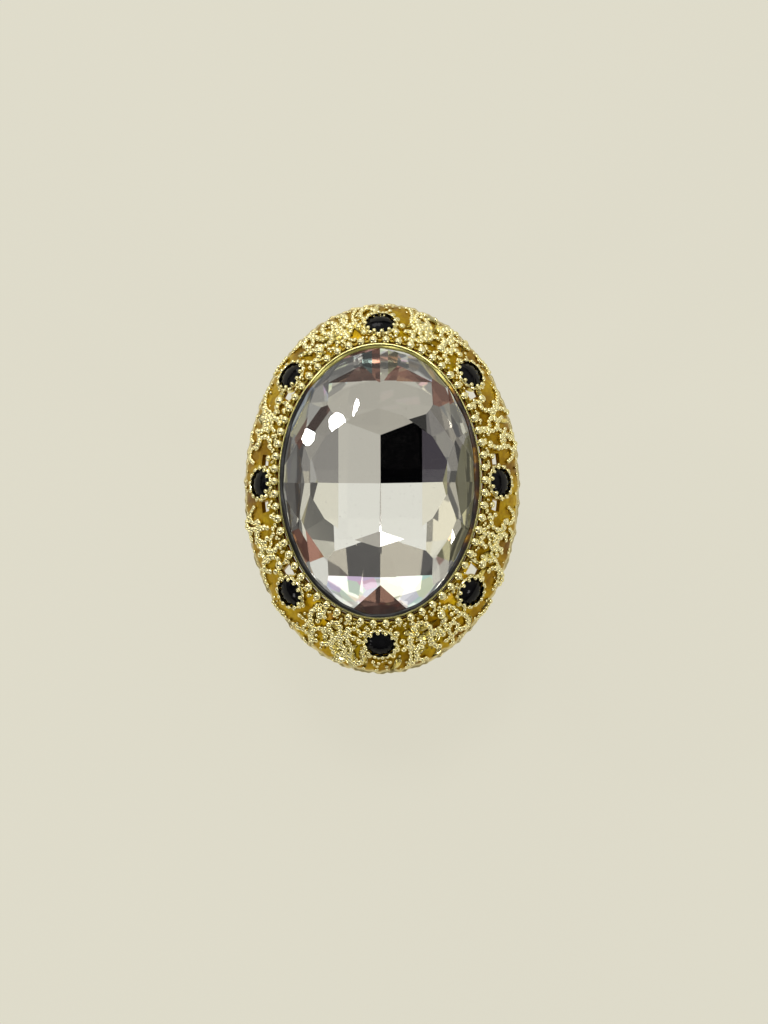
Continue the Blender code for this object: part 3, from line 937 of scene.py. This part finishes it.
def makeCrystal():
    # an oval block ground facet by facet; every mirrored facet remembers its own painted tone, a painted reflection
    base, top = girdle["low"], girdle["high"]
    tableTop = stoneHigh[2]
    sides = crystal["block"]
    block = np.stack([oval(stoneA, stoneB, z, aroundInto(sides)) for z in (base - 6, tableTop)])
    shape = gridShape(block * mm)
    solid = bmesh.new()
    corners = [solid.verts.new(point) for point in shape["points"]]
    for quad in shape["quads"]:
        solid.faces.new([corners[i] for i in quad])
    solid.faces.new(corners[:sides])
    solid.faces.new(corners[sides:])
    bmesh.ops.recalc_face_normals(solid, faces=solid.faces)
    for outX, outY, tiltDeg, reach in crystal["crown"]:
        for signX, signY in quarterSigns:
            if (outX == 0 and signX < 0) or (outY == 0 and signY < 0):
                continue
            out = Vector((outX * signX, outY * signY, 0)).normalized()
            cutTilted(solid, out, tiltDeg, out * reach + Vector((0, 0, tableTop)))
    # facet numbers index this list of painted tones: 0 is clear glass, the rest are mirrored
    names = ["clear"]
    for i, name in enumerate(crystal["skirt"]):
        angle = math.radians(11.25 + 22.5 * i)
        edge = Vector((stoneA * math.cos(angle), stoneB * math.sin(angle), 0))
        out = Vector((math.cos(angle) / stoneA, math.sin(angle) / stoneB, 0)).normalized()
        cutTilted(solid, out, 29.5 + 19 * abs(out.x) ** 3, edge + Vector((0, 0, top)))
        names.append(name)
        cutTilted(solid, out, 180 - crystal["skirtDeg"], edge + Vector((0, 0, base)), len(names) - 1)
    for slopeX, slopeY, depth, paintedTones in crystal["pavilion"]:
        for (signX, signY), name in zip(quarterSigns, paintedTones):
            if name is None:
                continue
            names.append(name)
            normal = Vector((slopeX * signX, slopeY * signY, -1)).normalized()
            cutGem(solid, (0, 0, base - depth), normal, len(names) - 1)
    names.append("soft")    # the upright wall between the upper and lower facets
    bmesh.ops.recalc_face_normals(solid, faces=solid.faces)
    numbers = [
        len(names) - 1 if abs(face.normal.z) < 0.01 else face.material_index for face in solid.faces
    ]
    for face, number in zip(solid.faces, numbers):
        face.material_index = 1 if number > 0 else 0
    mesh = bpy.data.meshes.new("centreCrystal")
    solid.to_mesh(mesh)
    solid.free()
    paintedTones = np.array([[*crystal["paintedTones"][names[number]], 1.0] for number in numbers], np.float32)
    own, usual = crystal["ownGlow"], crystal["paintedGlow"]
    paintedGlows = np.array([[own.get(names[number], usual)] for number in numbers], np.float32)
    for name, values in (("paintedTone", paintedTones), ("paintedGlow", paintedTones * paintedGlows)):
        mesh.attributes.new(name, "FLOAT_COLOR", "FACE").data.foreach_set("color", values.reshape(-1))
    mesh.materials.append(glass)
    mesh.materials.append(foil)
    placePiece("centreCrystal", mesh, ["centre_crystal", "foil_backing"])


makeCrystal()
print("crystal made")


def makeCupParts(number, turnDeg, slopeDeg):
    turn, share = cupPlace(turnDeg, slopeDeg)
    centre = domeAt(turn, share)
    up = domeNormal(turn, share)
    along = domeAt(turn + 0.01, share) - centre
    along -= up * (along @ up)
    along /= np.linalg.norm(along)
    side = np.cross(up, along)

    def turned(section, count, flute=0.0):
        # an outline turned about the cup's axis, its radius waved by the flutes
        turn = aroundInto(count)
        radius, height = (np.array(part)[:, None] * np.ones(count) for part in zip(*section))
        radius = radius + flute * radius * np.cos(cups["flutes"] * turn)
        grid = centre + (radius * np.cos(turn))[..., None] * along
        grid = grid + (radius * np.sin(turn))[..., None] * side + height[..., None] * up
        return gridShape(grid * mm, poles=True)

    def ringOfGrains(radius, height, size, turn, squash=1.0):
        outward = np.cos(turn)[:, None] * along + np.sin(turn)[:, None] * side
        inward = -outward * 0.5 + up
        inward /= np.linalg.norm(inward, axis=1, keepdims=True)
        sizes = size * chance.uniform(0.92, 1.08, len(turn))
        return beadShapes(centre + radius * outward + height * up, inward, sizes, squash, sides=10, rings=7)

    # twelve teeth over the stone's edge, and a grain outside each gap between them
    turn = aroundInto(cups["teeth"]) + 0.13 * number
    gold = joined([
        turned(cups["body"], 48),
        ringOfGrains(1.42, 0.36, 0.215, turn, 1.15),
        ringOfGrains(1.63, 0.16, 0.16, turn + math.pi / cups["teeth"]),
    ])
    makePiece(f"clawCup{number}", gold, reliefGold, [f"accent_cup_{number}"])
    # a low dome, softly fluted
    gem = turned(cups["stone"], 4 * cups["flutes"], 0.03)
    makePiece(f"blackStone{number}", gem, jet, [f"accent_stone_{number}"], 40)


for number, (turnDeg, slopeDeg) in enumerate(cups["places"], 1):
    makeCupParts(number, turnDeg, slopeDeg)
print("cups made")


shankLow, shankHigh = (np.array(corner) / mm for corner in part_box("shank"))
shank = {
    "fingerRadius": 8.65, "baseHalf": 1.6, "topHalf": 4.2, "baseThick": 1.35, "topThick": 2.3,
    "comfort": 0.15, "around": 256,
}


def makeShank():
    # a rounded D section carried round the finger, swelling towards the flat seat at the top
    turn = aroundInto(shank["around"])
    # share of the half width, and of the thickness, for the crown and then for the bore
    corner, bore = np.linspace(0, math.pi, 17), np.linspace(-0.93, 0.93, 13)
    across = np.concatenate([np.cos(corner), bore])
    through = np.concatenate([0.5 + 0.5 * np.sin(corner) ** 0.9, np.abs(bore) ** 6 * 0.08])
    widen = smoothStep((1 + np.sin(turn)) / 2)
    thicken = smoothStep(np.clip(np.sin(turn), 0, 1))
    half = shank["baseHalf"] + (shank["topHalf"] - shank["baseHalf"]) * widen
    thick = shank["baseThick"] + (shank["topThick"] - shank["baseThick"]) * thicken
    radius = shank["fingerRadius"] + shank["comfort"] * across[:, None] ** 2 + through[:, None] * thick
    x = radius * np.cos(turn)
    z = np.minimum(radius * np.sin(turn), shankHigh[2])
    y = across[:, None] * half
    return gridShape(np.stack([x, y, z], -1) * mm, wrapRows=True)


makePiece("shankBand", makeShank(), shankGold, ["shank"], 40)

solder = {"a": 3.3, "b": 3.9, "foot": 9.9}


def makeSolder():
    # a low fillet where the cup sits on the shank
    foot, top = solder["foot"], bezelLow[2] + 0.02
    offsets = [0.55, 0.35, 0.18, 0.1, -0.4, -0.4]
    heights = [foot, 10.08, 10.22, top, top, foot]
    turn = aroundInto(160)
    wobble = 0.06 * np.sin(7 * turn) + 0.04 * np.sin(15 * turn + 1)
    return ovalRing(offsets, heights, solder["a"], solder["b"], 160, swell=wobble)


makePiece("solderFillet", makeSolder(), shankGold, (), 60)
print("shank made")


def makeFloor():
    # pale, and partly lit from within, so that the ring's shadow stays faint
    mesh = bpy.data.meshes.new("floor")
    reach, low = 1.2, shankLow[2] * mm - 0.05 * mm
    corners = [(reach * x, reach * y, low) for x, y in ((-1, -1), (1, -1), (1, 1), (-1, 1))]
    mesh.from_pydata(corners, [], [(0, 1, 2, 3)])
    material = bpy.data.materials.new("paleFloor")
    tree, both = emptyTree(material, "OutputMaterial", "AddShader")
    for i, (kind, colour) in enumerate((
        ("Emission", (0.62, 0.60, 0.505, 1)), ("BsdfDiffuse", (0.16, 0.155, 0.13, 1)),
    )):
        part = newNode(tree, kind, {"Color": colour})
        tree.links.new(part.outputs[0], both.inputs[i])
    mesh.materials.append(material)
    added("floor", mesh)


# the room: its tone away from +Y and towards it, then patches as (direction, cosine at the
# patch's edge, cosine where it is full, tone), the later over the earlier
room = {
    "away": (0.28, 0.27, 0.245),
    "towards": (0.75, 0.735, 0.665),
    "horizon": (0.045, 0.04, 0.03),
    "patches": [
        ((0.5, -0.28, 0.82), 0.88, 0.95, (0.40, 0.395, 0.375)),
        ((-0.043, 0.125, 0.99), 0.97, 0.99, (0.01, 0.01, 0.01)),
        ((-0.846, -0.152, 0.51), 0.9, 0.965, (0.05, 0.042, 0.055)),
        ((-0.486, -0.17, 0.857), 0.95, 0.985, (0.002, 0.002, 0.003)),
    ],
}


def makeWorld():
    world = bpy.data.worlds.new("studio")
    bpy.context.scene.world = world
    tree, back = emptyTree(world, "OutputWorld", "Background")
    place = newNode(tree, "TexCoord")

    def towards(direction, low, high):
        # 0 to 1 as the sight line swings towards a direction
        dot = newNode(tree, "VectorMath")
        dot.operation = "DOT_PRODUCT"
        dot.inputs[1].default_value = Vector(direction).normalized()
        tree.links.new(place.outputs["Generated"], dot.inputs[0])
        swing = newNode(tree, "MapRange", {"From Min": low, "From Max": high})
        swing.interpolation_type = "SMOOTHSTEP"
        feed(swing, "Value", dot.outputs["Value"])
        return swing.outputs["Result"]

    colour = blended(tree, "MIX", towards((0, 1, 0), -0.6, 0.25), room["away"], room["towards"])
    colour = blended(tree, "MIX", towards((0, 0, 1), 0.02, 0.34), room["horizon"], colour)
    for direction, low, high, tone in room["patches"]:
        colour = blended(tree, "MIX", towards(direction, low, high), colour, tone)
    feed(back, "Color", colour)
    back.inputs["Strength"].default_value = 1.0


warm = (1.0, 0.98, 0.94)
lamps = [
    ("overhead", (-0.02, 0.16, 0.487), (0.10, 0.10), 0.35),
    ("softbox", (-0.43, 0.14, 0.36), (0.065, 0.065), 0.2),
    ("backSoftbox", (-0.12, 0.46, 0.17), (0.26, 0.16), 0.4),
    ("leftSpark", (-0.30, -0.30, 0.16), (0.09, 0.09), 0.2, warm),
    ("rightSpark", (0.36, -0.26, 0.18), (0.09, 0.09), 0.2, warm),
    # small round lamps, each mirrored once in one of the crystal's facets
    ("pinSpark", (-0.2268, 0.348, 0.306), (0.0052, 0.0042), 0.0042, (1, 1, 1), "ELLIPSE", 0.9),
    ("flareSpark", (-0.309, 0.238, 0.340), (0.0052, 0.0034), 0.0034, (1, 1, 1), "ELLIPSE", 0.5),
    ("sliverSpark", (-0.2222, 0.3515, 0.306), (0.0052, 0.0013), 0.0016, (1, 1, 1), "ELLIPSE", 0.8),
]


def areaLight(name, place, size, power, colour=(1, 1, 1), shape="RECTANGLE", roll=0.0):
    # a lamp aimed at the crystal and rolled about its own axis
    data = bpy.data.lights.new(name, "AREA")
    data.shape = shape
    data.size, data.size_y = size
    data.energy = power
    data.color = colour
    light = added(name, data)
    light.location = place
    aim = Vector((0, 0, 0.013)) - Vector(place)
    facing = aim.to_track_quat("-Z", "Y").to_matrix()
    light.rotation_euler = (facing @ Matrix.Rotation(roll, 3, "Z")).to_euler()


view = {"aim": (0.24, -2.45, 13.0), "distance": 298.0, "rightDeg": 2.5, "downDeg": 7.2, "lens": 112.0}


def makeCamera():
    data = bpy.data.cameras.new("camera")
    data.lens = view["lens"]
    data.sensor_width = 36.0
    data.clip_start = 0.01
    camera = added("camera", data)
    rightward, downward = (math.tan(math.radians(view[name])) for name in ("rightDeg", "downDeg"))
    back = Vector((rightward, -downward, 1)).normalized()
    right = (-back).cross(Vector((0, 1, 0))).normalized()
    up = right.cross(-back)
    place = (Vector(view["aim"]) + back * view["distance"]) * mm
    camera.matrix_world = Matrix.Translation(place) @ Matrix((right, up, back)).transposed().to_4x4()
    bpy.context.scene.camera = camera


makeFloor()
makeWorld()
for lamp in lamps:
    areaLight(*lamp)
makeCamera()
bpy.context.scene.view_settings.view_transform = "Standard"
print("stage set")
